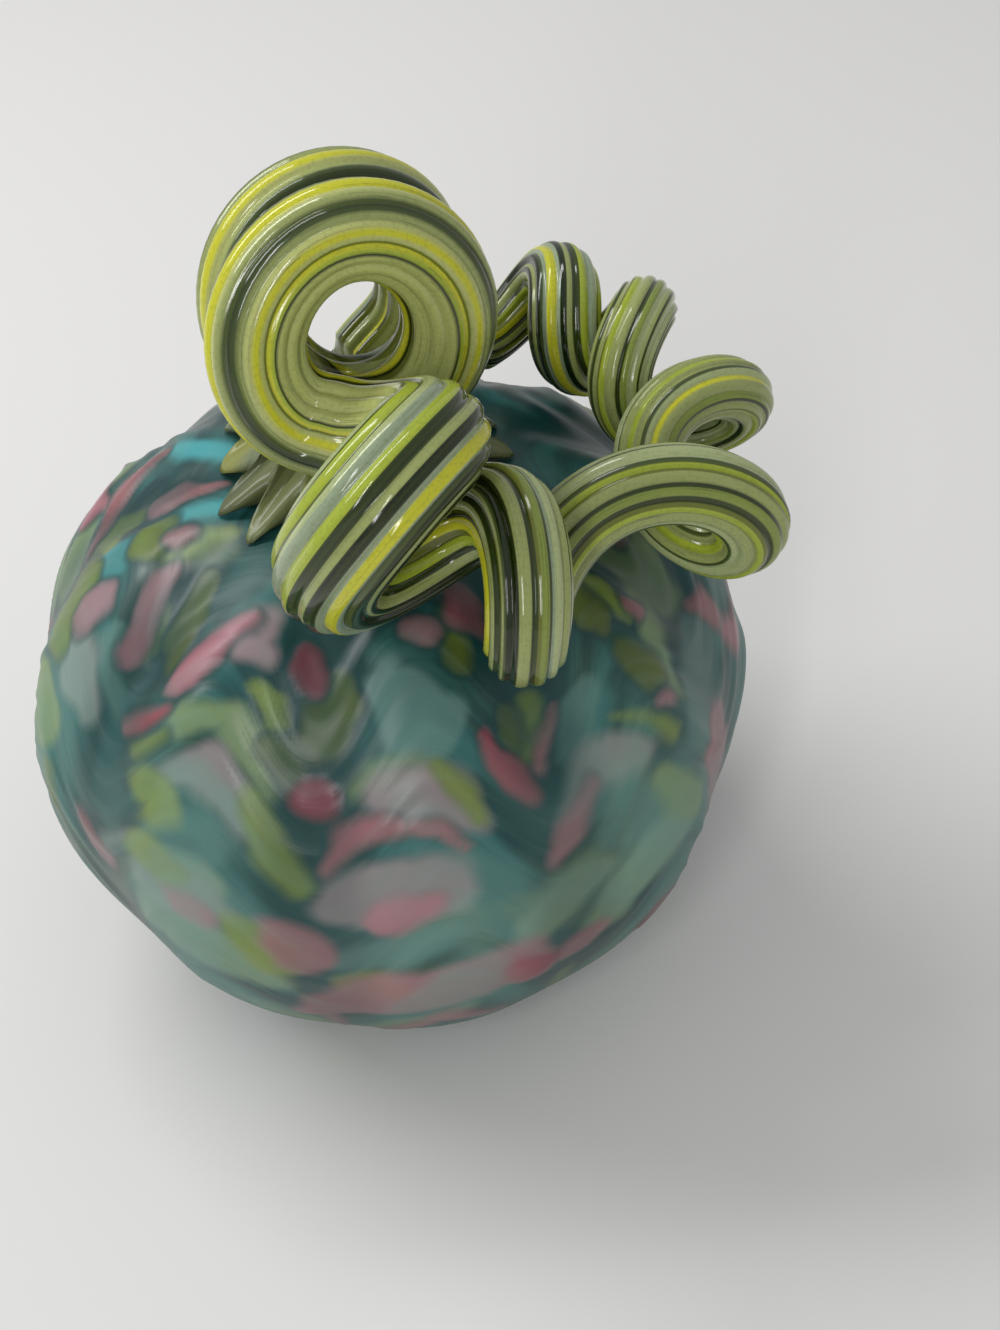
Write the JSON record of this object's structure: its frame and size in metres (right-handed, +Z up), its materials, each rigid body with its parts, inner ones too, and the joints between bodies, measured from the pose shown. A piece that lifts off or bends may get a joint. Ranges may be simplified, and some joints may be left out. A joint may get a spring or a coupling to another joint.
{
  "type": "glass pumpkin",
  "caption": "Blown glass pumpkin paperweight: lobed hollow body with a satin mottled skin and a hot-applied ribbed, striped stem wound into coils and curls.",
  "frame": {"origin": "middle of the flat ground foot, at the base of the body", "axes": "+Z up out of the dimple, -Y towards the front of the picture, +X to its right"},
  "size_m": [0.1449, 0.1385, 0.1717],
  "materials": {
    "satin_mottled_glass": "satin, acid-hazed, opaque teal with melted-in rose, pink and olive chips",
    "striped_cane_glass": "glossy, ribbed, opaque sage, lime, yellow and dark green stripes"
  },
  "bodies": {
    "root": {"body_shell": "satin_mottled_glass", "stem": "striped_cane_glass"}
  },
  "joints": []
}
